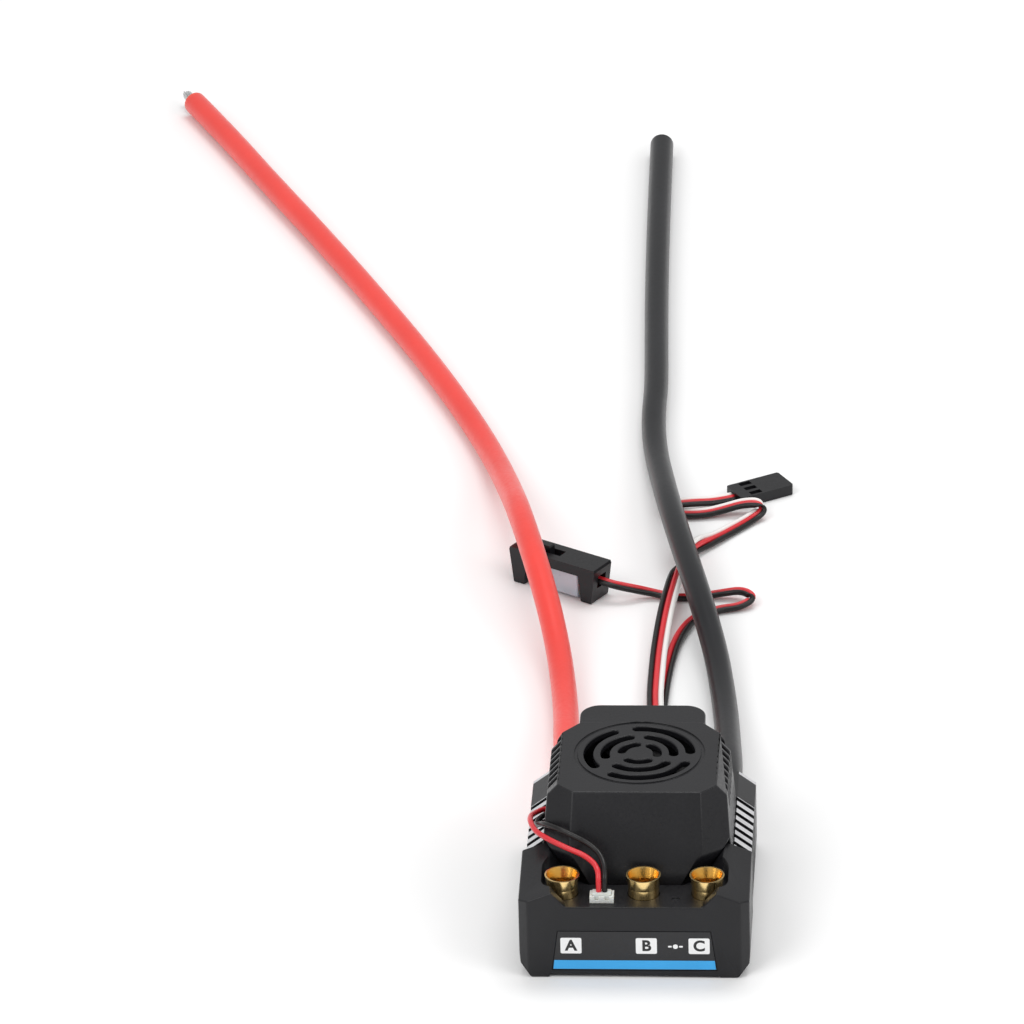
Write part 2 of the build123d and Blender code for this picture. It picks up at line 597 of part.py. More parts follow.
# ================================================================ fan connector
hx, hy = -6.95, -26.4
with BuildPart() as fan_header:
    with BuildSketch(Plane.XY.offset(board_z + board_t)):
        with Locations((hx, hy)):
            Rectangle(5.2, 3.0)
    extrude(amount=18.6 - board_z - board_t)
    with BuildSketch(Plane.XY.offset(14.6)):
        with Locations((hx, hy)):
            Rectangle(4.2, 2.0)
    extrude(amount=6, mode=Mode.SUBTRACT)
    with BuildSketch(Plane.XZ.offset(-(hy - 2.5))):
        with Locations((hx - 1.1, 18.4), (hx + 1.1, 18.4)):
            Rectangle(0.9, 1.6)
    extrude(amount=-2.4, mode=Mode.SUBTRACT)
fan_header.part.label = "fan_header"
export_step(fan_header.part, "parts/fan_header.step")

with BuildPart() as fan_header_pins:
    with BuildSketch(Plane.XY.offset(14.6)):
        with Locations((hx - 0.65, hy), (hx + 0.65, hy)):
            Rectangle(0.5, 0.5)
    extrude(amount=2.6)
fan_header_pins.part.label = "fan_header_pins"
export_step(fan_header_pins.part, "parts/fan_header_pins.step")

with BuildPart() as fan_plug:
    with BuildSketch(Plane.XY.offset(14.8)):
        with Locations((hx, hy)):
            Rectangle(4.0, 1.8)
            with Locations((-0.65, 0), (0.65, 0)):
                Rectangle(0.56, 0.56, mode=Mode.SUBTRACT)
    extrude(amount=2.6)
    with BuildSketch(Plane.XY.offset(17.4)):
        with Locations((hx, hy)):
            Rectangle(4.0, 1.8)
    extrude(amount=1.8)
fan_plug.part.label = "fan_plug"
export_step(fan_plug.part, "parts/fan_plug.step")

# ================================================================ battery leads
with BuildPart() as lead_grommets:
    for s in (-1, 1):
        with BuildSketch(Plane.XZ.offset(-25.0)):
            with Locations((s * lead_x, lead_z)):
                Circle(3.6)
                Circle(2.95, mode=Mode.SUBTRACT)
        extrude(amount=-(y_rear - 25.0))
        with BuildSketch(Plane.XZ.offset(-y_rear)):
            with Locations((s * lead_x, lead_z)):
                Circle(4.3)
                Circle(2.95, mode=Mode.SUBTRACT)
        extrude(amount=-(grommet_out - y_rear))
lead_grommets.part.label = "lead_grommets"
export_step(lead_grommets.part, "parts/lead_grommets.step")

with BuildPart() as lead_tails:
    for s in (-1, 1):
        with BuildSketch(Plane.XZ.offset(-24.0)):
            with Locations((s * lead_x, lead_z)):
                Circle(lead_r)
        extrude(amount=-(grommet_out - 24.0))
        with BuildSketch(Plane.XZ.offset(-21.3)):
            with Locations((s * (lead_x + 0.2), 7.35)):
                Circle(1.9)
        extrude(amount=-2.7)
lead_tails.part.label = "lead_tails"
export_step(lead_tails.part, "parts/lead_tails.step")

with BuildPart() as battery_lead_red:
    with BuildLine() as red_line:
        FilletPolyline(*red_route, radius=cord_radii(red_route))
    with BuildSketch(Plane(origin=red_line.line @ 0, z_dir=red_line.line % 0)):
        Circle(lead_r)
    sweep()
battery_lead_red.part.label = "battery_lead_red"
export_step(battery_lead_red.part, "parts/battery_lead_red.step")
report_cord("battery_lead_red", red_route, battery_lead_red.part, lead_r)

with BuildPart() as battery_lead_black:
    with BuildLine() as black_line:
        FilletPolyline(*black_route, radius=cord_radii(black_route))
    with BuildSketch(Plane(origin=black_line.line @ 0, z_dir=black_line.line % 0)):
        Circle(lead_r)
    sweep()
battery_lead_black.part.label = "battery_lead_black"
export_step(battery_lead_black.part, "parts/battery_lead_black.step")
report_cord("battery_lead_black", black_route, battery_lead_black.part, lead_r)

# stripped and tinned ends
for colour, line, bare in (("red", red_line.line, 7.0), ("black", black_line.line, 5.0)):
    with BuildPart() as tip:
        with BuildSketch(Plane(origin=line @ 1, z_dir=line % 1)):
            Circle(1.65)
        extrude(amount=bare)
        fillet(tip.edges().filter_by(GeomType.CIRCLE).sort_by_distance(line @ 1)[-1:], radius=0.5)
    tip.part.label = "lead_tip_" + colour
    export_step(tip.part, "parts/lead_tip_" + colour + ".step")

# ================================================================ receiver cable and switch cable
with BuildPart() as cable_grommet:
    with BuildSketch(Plane.XZ.offset(-25.6)):
        with Locations((5.2, 6.0)):
            RectangleRounded(10.3, 3.9, 1.35)
    extrude(amount=-(y_rear - 25.6))
    with BuildSketch(Plane.XZ.offset(-y_rear)):
        with Locations((5.2, 6.0)):
            RectangleRounded(11.8, 5.4, 2.0)
    extrude(amount=-(grommet_out - y_rear))
cable_grommet.part.label = "cable_grommet"
export_step(cable_grommet.part, "parts/cable_grommet.step")

with BuildPart() as servo_cable:
    with BuildLine() as servo_line:
        FilletPolyline(*servo_route, radius=cord_radii(servo_route))
    with BuildSketch(Plane(origin=servo_line.line @ 0, z_dir=servo_line.line % 0)):
        Circle(servo_r)
    sweep()
servo_cable.part.label = "servo_cable"
export_step(servo_cable.part, "parts/servo_cable.step")
report_cord("servo_cable", servo_route, servo_cable.part, servo_r)

with BuildPart() as switch_cable:
    with BuildLine() as switch_line:
        FilletPolyline(*switch_route, radius=cord_radii(switch_route))
    with BuildSketch(Plane(origin=switch_line.line @ 0, z_dir=switch_line.line % 0)):
        Circle(switch_r)
    sweep()
switch_cable.part.label = "switch_cable"
export_step(switch_cable.part, "parts/switch_cable.step")
report_cord("switch_cable", switch_route, switch_cable.part, switch_r)

# three-way receiver plug, 7.62 x 2.54 x 14 housing lying flat
servo_end = Vector(*servo_route[-1])
servo_dir = (Vector(*servo_route[-1]) - Vector(*servo_route[-2])).normalized()
plug_plane = Plane(origin=(servo_end.X, servo_end.Y, 0), x_dir=(servo_dir.X, servo_dir.Y, 0), z_dir=(0, 0, 1))
with BuildPart() as servo_plug:
    with BuildSketch(plug_plane):
        with Locations((7.0, 0)):
            Rectangle(14.0, 7.6)
    extrude(amount=2.54)
    chamfer(servo_plug.edges().filter_by(Axis.Z), length=0.4)
    with BuildSketch(plug_plane.offset(2.54)):
        with Locations((4.4, -2.54), (4.4, 0), (4.4, 2.54)):
            Rectangle(3.0, 1.5)
    extrude(amount=-0.7, mode=Mode.SUBTRACT)
    with BuildSketch(plug_plane.offset(0.87)):
        with Locations((12.5, -2.54), (12.5, 0), (12.5, 2.54)):
            Rectangle(7.0, 0.9)
    extrude(amount=0.9, mode=Mode.SUBTRACT)
servo_plug.part.label = "servo_plug"
export_step(servo_plug.part, "parts/servo_plug.step")

with BuildPart() as servo_contacts:
    with BuildSketch(plug_plane.offset(0.95)):
        with Locations((11.2, -2.54), (11.2, 0), (11.2, 2.54)):
            Rectangle(4.2, 0.75)
    extrude(amount=0.72)
servo_contacts.part.label = "servo_contacts"
export_step(servo_contacts.part, "parts/servo_contacts.step")

# ================================================================ power switch on its bracket
sw_angle = -32.0
sw_x, sw_y = -24.7, 152.3      # centre of the bracket on the surface it stands on
sw_dir = (math.cos(math.radians(sw_angle)), math.sin(math.radians(sw_angle)), 0)
sw_plane = Plane(origin=(sw_x, sw_y, 0), x_dir=sw_dir, z_dir=(0, 0, 1))
sw_face = Plane(origin=(sw_x, sw_y, 0), x_dir=sw_dir, z_dir=(sw_dir[1], -sw_dir[0], 0))
with BuildPart() as switch_bracket:
    with BuildSketch(sw_face.offset(-3.5)):
        with BuildLine():
            Polyline((-11.8, 8.8), (11.8, 8.8), (12.0, 8.2), (10.9, 0), (8.0, 0), (7.3, 6.3), (-7.3, 6.3),
                     (-8.0, 0), (-10.9, 0), (-12.0, 8.2), close=True)
        make_face()
    extrude(amount=7.0)
    with BuildSketch(sw_plane.offset(9.0)):
        with Locations((-2.5, 0)):
            Rectangle(6.6, 2.6)
    extrude(amount=-4, mode=Mode.SUBTRACT)
    with Locations(*[sw_plane.location * Location((x, 0, 0), (180, 0, 0)) for x in (-9.4, 9.4)]):
        Hole(radius=0.75, depth=3.0)
    with BuildSketch(sw_face.offset(0)):
        with Locations((9.6, 5.0)):
            Rectangle(6.0, 3.2)
    extrude(amount=1.6, both=True, mode=Mode.SUBTRACT)
switch_bracket.part.label = "switch_bracket"
export_step(switch_bracket.part, "parts/switch_bracket.step")

with BuildPart() as switch_body:
    with BuildSketch(sw_plane.offset(0.6)):
        Rectangle(13.8, 6.2)
    extrude(amount=5.6)
    fillet(switch_body.edges().filter_by(Axis.Z), radius=0.5)
    with BuildSketch(sw_plane.offset(6.2)):
        with Locations((-2.5, 0)):
            Rectangle(5.0, 1.6)
    extrude(amount=-2.2, mode=Mode.SUBTRACT)
switch_body.part.label = "switch_body"
export_step(switch_body.part, "parts/switch_body.step")

slide_x = -3.4            # off position; the knob travels 2 mm along the bracket
with BuildPart() as switch_slider:
    with BuildSketch(sw_plane.offset(4.4)):
        with Locations((slide_x, 0)):
            Rectangle(2.2, 1.3)
    extrude(amount=1.9)
    with BuildSketch(sw_plane.offset(6.3)):
        with Locations((slide_x, 0)):
            Rectangle(2.4, 2.0)
    extrude(amount=3.9)
    chamfer(switch_slider.faces().sort_by(Axis.Z)[-1].edges(), length=0.25)
switch_slider.part.label = "switch_slider"
export_step(switch_slider.part, "parts/switch_slider.step")

# fan wires
for colour, route in (("red", fan_red_route), ("black", fan_black_route)):
    with BuildPart() as wire:
        with BuildLine() as wire_line:
            FilletPolyline(*route, radius=cord_radii(route))
        with BuildSketch(Plane(origin=wire_line.line @ 0, z_dir=wire_line.line % 0)):
            Circle(fan_wire_r)
        sweep()
    wire.part.label = "fan_wire_" + colour
    export_step(wire.part, "parts/fan_wire_" + colour + ".step")
    report_cord("fan_wire_" + colour, route, wire.part, fan_wire_r)
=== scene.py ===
import math
import random
import bmesh
import bpy
from mathutils import Matrix, Vector


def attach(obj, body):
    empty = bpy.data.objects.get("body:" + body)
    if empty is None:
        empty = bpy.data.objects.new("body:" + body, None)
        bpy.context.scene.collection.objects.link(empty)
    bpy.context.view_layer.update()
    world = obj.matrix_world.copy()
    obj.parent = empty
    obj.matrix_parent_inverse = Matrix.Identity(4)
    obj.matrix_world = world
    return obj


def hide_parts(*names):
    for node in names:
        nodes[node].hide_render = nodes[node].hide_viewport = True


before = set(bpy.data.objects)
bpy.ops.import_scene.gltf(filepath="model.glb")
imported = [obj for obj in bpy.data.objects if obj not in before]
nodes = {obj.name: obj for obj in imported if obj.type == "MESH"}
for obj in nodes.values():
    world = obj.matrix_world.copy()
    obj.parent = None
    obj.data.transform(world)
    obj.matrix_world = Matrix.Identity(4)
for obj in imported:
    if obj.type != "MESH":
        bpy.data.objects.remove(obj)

random.seed(7)
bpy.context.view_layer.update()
scene = bpy.context.scene
MM = 0.001


def mm(points):
    return [(x * MM, y * MM, z * MM) for x, y, z in points]


# ------------------------------------------------------------------ camera
az, pitch, roll = math.radians(3.66528), math.radians(27.07643), math.radians(-1.50080)
back = Vector((math.sin(az) * math.cos(pitch), -math.cos(az) * math.cos(pitch), math.sin(pitch)))
right0 = Vector((math.cos(az), math.sin(az), 0))
up0 = right0.cross(-back)
right = right0 * math.cos(roll) + up0 * math.sin(roll)
up = -right0 * math.sin(roll) + up0 * math.cos(roll)
cam_data = bpy.data.cameras.new("main_camera")
cam_data.sensor_fit = "HORIZONTAL"
cam_data.sensor_width = 36.0
cam_data.lens = 10000.0 * 36.0 / 1024.0
cam_data.clip_start = 0.05
cam_data.clip_end = 20.0
cam = bpy.data.objects.new("main_camera", cam_data)
rot = Matrix((right, up, back)).transposed().to_4x4()
cam.matrix_world = Matrix.Translation(Vector((0.09627, -1.90696, 1.07435))) @ rot
scene.collection.objects.link(cam)
scene.camera = cam

# ------------------------------------------------------------------ cord routes: the points of part.py, moved where leads lie on each other
red_route = [
    (-18.2, 31.7, 9.0), (-18.2, 42.0, 9.0), (-18.5, 53.5, 8.2), (-19.4, 68.0, 6.4), (-20.0, 81.0, 4.5),
    (-21.3, 96.0, 4.0), (-23.2, 111.0, 5.6), (-26.3, 127.0, 9.2), (-30.5, 145.0, 12.6), (-34.8, 166.0, 12.6),
    (-37.8, 184.0, 8.6), (-41.1, 202.0, 4.8), (-46.0, 221.0, 2.95), (-53.8, 243.0, 2.95), (-64.1, 269.0, 2.95),
    (-78.0, 301.0, 2.95), (-93.9, 336.0, 2.95), (-109.2, 368.0, 2.95), (-120.6, 393.0, 2.95), (-131.0, 414.0, 2.95),
]
black_route = [
    (18.2, 31.7, 9.0), (18.2, 41.5, 9.0), (18.0, 52.0, 8.0), (17.2, 64.5, 6.2), (16.3, 79.0, 4.4),
    (14.9, 95.0, 3.6), (12.6, 113.0, 4.6), (8.4, 133.0, 7.6), (3.8, 156.0, 8.2), (-0.4, 180.0, 7.2),
    (-3.2, 201.0, 4.6), (-4.6, 212.0, 3.4), (-5.8, 224.0, 2.95), (-6.4, 236.0, 2.95), (-6.3, 252.0, 2.95),
    (-7.1, 272.0, 2.95), (-8.2, 301.0, 2.95), (-9.2, 336.0, 2.95), (-9.8, 364.0, 2.95), (-10.3, 389.0, 2.95),
]
servo_route = [
    (3.4, 31.7, 6.0), (3.4, 40.5, 6.0), (3.2, 49.5, 5.2), (2.4, 60.0, 3.8), (1.2, 73.0, 2.7),
    (-0.5, 91.5, 2.2), (-0.6, 106.0, 2.15), (-0.4, 120.0, 2.3), (0.6, 136.0, 3.6), (2.0, 150.5, 3.4),
    (3.2, 160.5, 3.0), (6.0, 168.4, 2.7), (10.6, 175.8, 0.9), (15.6, 182.2, 0.75), (18.8, 186.4, 0.8),
    (21.2, 188.6, 1.8), (20.2, 189.4, 3.2), (16.4, 189.9, 2.8), (12.0, 189.3, 1.6), (8.0, 188.5, 0.9),
    (4.2, 188.0, 0.9), (0.6, 188.4, 0.9), (-1.2, 189.3, 1.75), (0.6, 190.4, 2.4), (5.0, 191.6, 2.3),
    (10.0, 193.5, 1.5), (14.2, 196.05, 1.27),
]
switch_route = [
    (7.2, 31.7, 6.0), (6.9, 40.5, 4.6), (5.2, 49.5, 2.0), (3.2, 60.5, 0.9), (1.8, 73.5, 0.75), (1.1, 87.0, 0.75),
    (1.3, 99.7, 0.75), (1.9, 111.8, 0.75), (3.1, 123.6, 0.75), (5.4, 132.5, 0.75), (8.6, 137.6, 0.75),
    (13.0, 140.2, 0.75), (17.4, 141.0, 0.9), (20.6, 143.4, 1.9), (17.8, 146.4, 2.4), (13.0, 147.0, 1.3),
    (8.0, 146.2, 0.75), (2.4, 145.4, 0.75), (-3.2, 147.3, 1.2), (-8.2, 145.6, 3.2), (-13.2, 145.1, 4.6),
    (-18.76, 148.59, 5.0),
]


def nurbs(name, points, bevel=0.0):
    data = bpy.data.curves.new(name, "CURVE")
    data.dimensions = "3D"
    data.resolution_u = 10
    spline = data.splines.new("NURBS")
    spline.points.add(len(points) - 1)
    for p, q in zip(spline.points, mm(points)):
        p.co = (*q, 1.0)
    spline.order_u = 3
    spline.use_endpoint_u = True
    if bevel:
        data.bevel_depth = bevel
        data.bevel_resolution = 9
        data.use_fill_caps = True
    obj = bpy.data.objects.new(name, data)
    scene.collection.objects.link(obj)
    return obj


def line_of(points):
    """The points of the smooth line through a route, read from its NURBS spline."""
    guide = nurbs("guide", points)
    mesh = bpy.data.meshes.new_from_object(guide)
    out = [v.co.copy() for v in mesh.vertices]
    bpy.data.meshes.remove(mesh)
    data = guide.data
    bpy.data.objects.remove(guide)
    bpy.data.curves.remove(data)
    return out


# ------------------------------------------------------------------ materials
def material(name, base, roughness, metallic=0.0, **sockets):
    m = bpy.data.materials.new(name)
    m.use_nodes = True
    nt = m.node_tree
    bsdf = nt.nodes["Principled BSDF"]
    bsdf.inputs["Base Color"].default_value = (*base, 1)
    bsdf.inputs["Roughness"].default_value = roughness
    bsdf.inputs["Metallic"].default_value = metallic
    for key, value in sockets.items():
        bsdf.inputs[key.replace("_", " ")].default_value = value
    return m, nt, bsdf


def node(nt, kind, **values):
    n = nt.nodes.new(kind)
    for k, v in values.items():
        if k in n.inputs:
            n.inputs[k].default_value = v
        else:
            setattr(n, k, v)
    return n


def ramp(nt, stops):
    n = nt.nodes.new("ShaderNodeValToRGB")
    cr = n.color_ramp
    while len(cr.elements) < len(stops):
        cr.elements.new(0.5)
    for e, (pos, col) in zip(cr.elements, stops):
        e.position = pos
        e.color = (*col, 1) if len(col) == 3 else col
    return n


def surface(name, base, roughness, metallic=0.0, vary=0.06, grain=900.0, grain_depth=0.000012, wear=None,
            rough_vary=0.08, blotch=60.0, scratches=0.0, **sockets):
    """A moulded or machined surface: colour mottling, roughness variation, fine grain bump, optional scratches."""
    m, nt, bsdf = material(name, base, roughness, metallic, **sockets)
    coord = node(nt, "ShaderNodeTexCoord")
    big = node(nt, "ShaderNodeTexNoise", Scale=blotch, Detail=4.0, Roughness=0.6)
    fine = node(nt, "ShaderNodeTexNoise", Scale=grain, Detail=3.0, Roughness=0.65)
    nt.links.new(coord.outputs["Object"], big.inputs["Vector"])
    nt.links.new(coord.outputs["Object"], fine.inputs["Vector"])
    lo = tuple(max(0, c * (1 - vary)) for c in base)
    hi = tuple(min(1, c * (1 + vary) + 0.002) for c in base)
    cr = ramp(nt, [(0.3, lo), (0.7, hi)])
    nt.links.new(big.outputs["Fac"], cr.inputs["Fac"])
    nt.links.new(cr.outputs["Color"], bsdf.inputs["Base Color"])
    rr = node(nt, "ShaderNodeMapRange")
    rr.inputs["From Min"].default_value = 0.3
    rr.inputs["From Max"].default_value = 0.7
    rr.inputs["To Min"].default_value = max(0.02, roughness - rough_vary)
    rr.inputs["To Max"].default_value = min(1, roughness + rough_vary)
    nt.links.new(fine.outputs["Fac"], rr.inputs["Value"])
    nt.links.new(rr.outputs["Result"], bsdf.inputs["Roughness"])
    bump = node(nt, "ShaderNodeBump", Strength=1.0, Distance=grain_depth)
    nt.links.new(fine.outputs["Fac"], bump.inputs["Height"])
    nt.links.new(bump.outputs["Normal"], bsdf.inputs["Normal"])
    if scratches:
        scale = node(nt, "ShaderNodeMapping")
        scale.inputs["Scale"].default_value = (1.0, 26.0, 26.0)
        nt.links.new(coord.outputs["Object"], scale.inputs["Vector"])
        lines = node(nt, "ShaderNodeTexNoise", Scale=140.0, Detail=4.0, Roughness=0.7)
        nt.links.new(scale.outputs["Vector"], lines.inputs["Vector"])
        b2 = node(nt, "ShaderNodeBump", Strength=1.0, Distance=scratches)
        nt.links.new(lines.outputs["Fac"], b2.inputs["Height"])
        nt.links.new(bump.outputs["Normal"], b2.inputs["Normal"])
        nt.links.new(b2.outputs["Normal"], bsdf.inputs["Normal"])
    return m


black_plastic = surface("black_plastic_look", (0.0075, 0.0075, 0.0092), 0.36, grain=1500.0, grain_depth=0.00001, vary=0.10, Specular_IOR_Level=0.34)
shroud_plastic = surface("shroud_plastic_look", (0.0072, 0.0072, 0.0090), 0.35, grain=1500.0, grain_depth=0.00001, vary=0.10, Specular_IOR_Level=0.34)
fan_plastic = surface("fan_plastic_look", (0.006, 0.006, 0.007), 0.36, grain=1100.0)
steel = surface("screw_steel_look", (0.50, 0.50, 0.52), 0.30, 1.0, scratches=0.00001)
bronze = surface("bronze_look", (0.55, 0.36, 0.17), 0.42, 1.0)
gold = surface("gold_plate_look", (0.93, 0.68, 0.30), 0.19, 1.0, vary=0.05, grain=500.0, grain_depth=0.000004, rough_vary=0.05,
               scratches=0.000006)
board = surface("board_look", (0.015, 0.10, 0.04), 0.35, blotch=400.0, vary=0.25)
epoxy = surface("chip_look", (0.02, 0.02, 0.02), 0.5)
pad = surface("pad_look", (0.42, 0.47, 0.52), 0.8)
tin = surface("tinned_look", (0.70, 0.70, 0.70), 0.32, 1.0, vary=0.15, blotch=900.0, grain=1800.0, grain_depth=0.00003)
can = surface("can_look", (0.05, 0.05, 0.07), 0.35)
lens = surface("lens_look", (0.020, 0.021, 0.024), 0.22)
nylon = surface("white_nylon_look", (0.78, 0.77, 0.72), 0.38, vary=0.04, Subsurface_Weight=0.15)
film = surface("label_film_look", (0.0085, 0.0085, 0.0105), 0.34, vary=0.08, grain=1600.0, grain_depth=0.000002)
white_ink = surface("white_ink_look", (0.86, 0.86, 0.86), 0.42, vary=0.02, grain=900.0)
black_ink = surface("black_ink_look", (0.012, 0.012, 0.012), 0.42, vary=0.05, grain=900.0)
blue_ink = surface("blue_ink_look", (0.035, 0.38, 0.80), 0.38, vary=0.04, grain=900.0)
rubber = surface("grommet_rubber_look", (0.009, 0.009, 0.009), 0.62, grain=1300.0, grain_depth=0.00003)
red_silicone = surface("red_silicone_look", (0.83, 0.040, 0.027), 0.36, vary=0.05, blotch=45.0, grain=1000.0,
                       grain_depth=0.00001, Subsurface_Weight=0.12, Sheen_Weight=0.12)
black_silicone = surface("black_silicone_look", (0.0060, 0.0065, 0.0085), 0.33, vary=0.12, blotch=45.0, grain=1000.0,
                         grain_depth=0.000002, rough_vary=0.03, Specular_IOR_Level=0.30)
red_pvc = surface("red_pvc_look", (0.66, 0.022, 0.032), 0.34, vary=0.06, grain=900.0)
black_pvc = surface("black_pvc_look", (0.0075, 0.0065, 0.0068), 0.34, vary=0.12, grain=900.0, Specular_IOR_Level=0.34)
white_pvc = surface("white_pvc_look", (0.84, 0.82, 0.80), 0.38, vary=0.03, grain=900.0)
smoke = surface("switch_shell_look", (0.50, 0.54, 0.60), 0.34, vary=0.03, blotch=80.0, Subsurface_Weight=0.2)


def fin_metal():
    """Black anodising over the whole case, cut away to bright metal on the sloping shoulders and the rear bevels."""
    m, nt, bsdf = material("case_metal_look", (0.03, 0.03, 0.033), 0.38, 0.0)
    coord = node(nt, "ShaderNodeTexCoord")
    geo = node(nt, "ShaderNodeNewGeometry")
    sep = node(nt, "ShaderNodeSeparateXYZ")
    nt.links.new(geo.outputs["True Normal"], sep.inputs["Vector"])
    ax = node(nt, "ShaderNodeMath", operation="ABSOLUTE")
    nt.links.new(sep.outputs["X"], ax.inputs[0])
    horizontal = node(nt, "ShaderNodeMath", operation="MAXIMUM")
    nt.links.new(ax.outputs[0], horizontal.inputs[0])
    nt.links.new(sep.outputs["Y"], horizontal.inputs[1])
    side = node(nt, "ShaderNodeMath", operation="GREATER_THAN")
    side.inputs[1].default_value = 0.35
    nt.links.new(horizontal.outputs[0], side.inputs[0])
    top = node(nt, "ShaderNodeMath", operation="GREATER_THAN")
    top.inputs[1].default_value = 0.35
    nt.links.new(sep.outputs["Z"], top.inputs[0])
    both = node(nt, "ShaderNodeMath", operation="MULTIPLY")
    nt.links.new(side.outputs[0], both.inputs[0])
    nt.links.new(top.outputs[0], both.inputs[1])
    # rear bevels up the sides: normal between +Y and the side
    rear = node(nt, "ShaderNodeMath", operation="GREATER_THAN")
    rear.inputs[1].default_value = 0.35
    nt.links.new(sep.outputs["Y"], rear.inputs[0])
    sides = node(nt, "ShaderNodeMath", operation="GREATER_THAN")
    sides.inputs[1].default_value = 0.35
    nt.links.new(ax.outputs[0], sides.inputs[0])
    corner = node(nt, "ShaderNodeMath", operation="MULTIPLY")
    nt.links.new(rear.outputs[0], corner.inputs[0])
    nt.links.new(sides.outputs[0], corner.inputs[1])
    mask = node(nt, "ShaderNodeMath", operation="MAXIMUM")
    place = node(nt, "ShaderNodeSeparateXYZ")
    nt.links.new(coord.outputs["Object"], place.inputs["Vector"])
    ahead = node(nt, "ShaderNodeMath", operation="LESS_THAN")
    ahead.inputs[1].default_value = 0.0182
    nt.links.new(place.outputs["Y"], ahead.inputs[0])
    behind = node(nt, "ShaderNodeMath", operation="MAXIMUM")
    nt.links.new(ahead.outputs[0], behind.inputs[0])
    nt.links.new(rear.outputs[0], behind.inputs[1])
    cut = node(nt, "ShaderNodeMath", operation="MULTIPLY")
    nt.links.new(both.outputs[0], cut.inputs[0])
    edge = node(nt, "ShaderNodeMath", operation="GREATER_THAN")
    edge.inputs[1].default_value = 0.0287
    nt.links.new(place.outputs["Y"], edge.inputs[0])
    ends = node(nt, "ShaderNodeMath", operation="MAXIMUM")
    nt.links.new(behind.outputs[0], ends.inputs[0])
    nt.links.new(edge.outputs[0], ends.inputs[1])
    nt.links.new(ends.outputs[0], cut.inputs[1])
    nt.links.new(cut.outputs[0], mask.inputs[0])
    nt.links.new(corner.outputs[0], mask.inputs[1])
    noise = node(nt, "ShaderNodeTexNoise", Scale=300.0, Detail=4.0)
    nt.links.new(coord.outputs["Object"], noise.inputs["Vector"])
    dark = ramp(nt, [(0.3, (0.0085, 0.0085, 0.0100)), (0.7, (0.0120, 0.0120, 0.0140))])
    bright = ramp(nt, [(0.3, (0.74, 0.74, 0.76)), (0.7, (0.90, 0.90, 0.92))])
    nt.links.new(noise.outputs["Fac"], dark.inputs["Fac"])
    nt.links.new(noise.outputs["Fac"], bright.inputs["Fac"])
    mix = node(nt, "ShaderNodeMix", data_type="RGBA")
    nt.links.new(mask.outputs[0], mix.inputs["Factor"])
    nt.links.new(dark.outputs["Color"], mix.inputs[6])
    nt.links.new(bright.outputs["Color"], mix.inputs[7])
    nt.links.new(mix.outputs[2], bsdf.inputs["Base Color"])
    metal = node(nt, "ShaderNodeMath", operation="MULTIPLY")
    metal.inputs[1].default_value = 0.85
    nt.links.new(mask.outputs[0], metal.inputs[0])
    nt.links.new(metal.outputs[0], bsdf.inputs["Metallic"])
    lines = node(nt, "ShaderNodeMapping")
    lines.inputs["Scale"].default_value = (6.0, 60.0, 60.0)
    nt.links.new(coord.outputs["Object"], lines.inputs["Vector"])
    ln = node(nt, "ShaderNodeTexNoise", Scale=60.0, Detail=3.0)
    nt.links.new(lines.outputs["Vector"], ln.inputs["Vector"])
    bump = node(nt, "ShaderNodeBump", Strength=1.0, Distance=0.00001)
    nt.links.new(ln.outputs["Fac"], bump.inputs["Height"])
    nt.links.new(bump.outputs["Normal"], bsdf.inputs["Normal"])
    return m


case_metal = fin_metal()

looks = {
    "base_plate": black_plastic, "case_screws": steel, "heatsink_case": case_metal, "front_cover": black_plastic,
    "label_plate": film, "fan_shroud": shroud_plastic, "fan_frame": fan_plastic, "fan_screws": steel,
    "fan_bearing": bronze, "fan_stator": steel, "fan_shaft": steel, "fan_magnet": epoxy, "fan_rotor": fan_plastic,
    "phase_socket_a": gold, "phase_socket_b": gold, "phase_socket_c": gold, "power_board": board, "mosfets": epoxy,
    "thermal_pad": pad, "control_board": board, "board_screws": steel, "control_chips": epoxy, "bec_inductor": epoxy,
    "board_pins": tin, "bus_capacitors": can, "capacitor_legs": tin, "status_led": lens, "led_light_pipe": lens,
    "fan_header": nylon, "fan_header_pins": tin, "fan_plug": nylon, "lead_grommets": rubber,
    "lead_tails": black_silicone, "battery_lead_red": red_silicone, "battery_lead_black": black_silicone,
    "lead_tip_red": tin, "lead_tip_black": tin, "cable_grommet": rubber, "servo_cable": red_pvc,
    "switch_cable": red_pvc, "servo_plug": black_plastic, "servo_contacts": gold, "switch_bracket": black_plastic,
    "switch_body": smoke, "switch_slider": black_plastic, "fan_wire_red": red_pvc, "fan_wire_black": black_pvc,
}
for name, look in looks.items():
    slots = nodes[name].data.materials
    if len(slots) == 0:
        slots.append(look)
    for i in range(len(slots)):
        slots[i] = look


def finish_piece(obj, mats, body="controller"):
    for m in mats:
        obj.data.materials.append(m)
    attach(obj, body)
    return obj


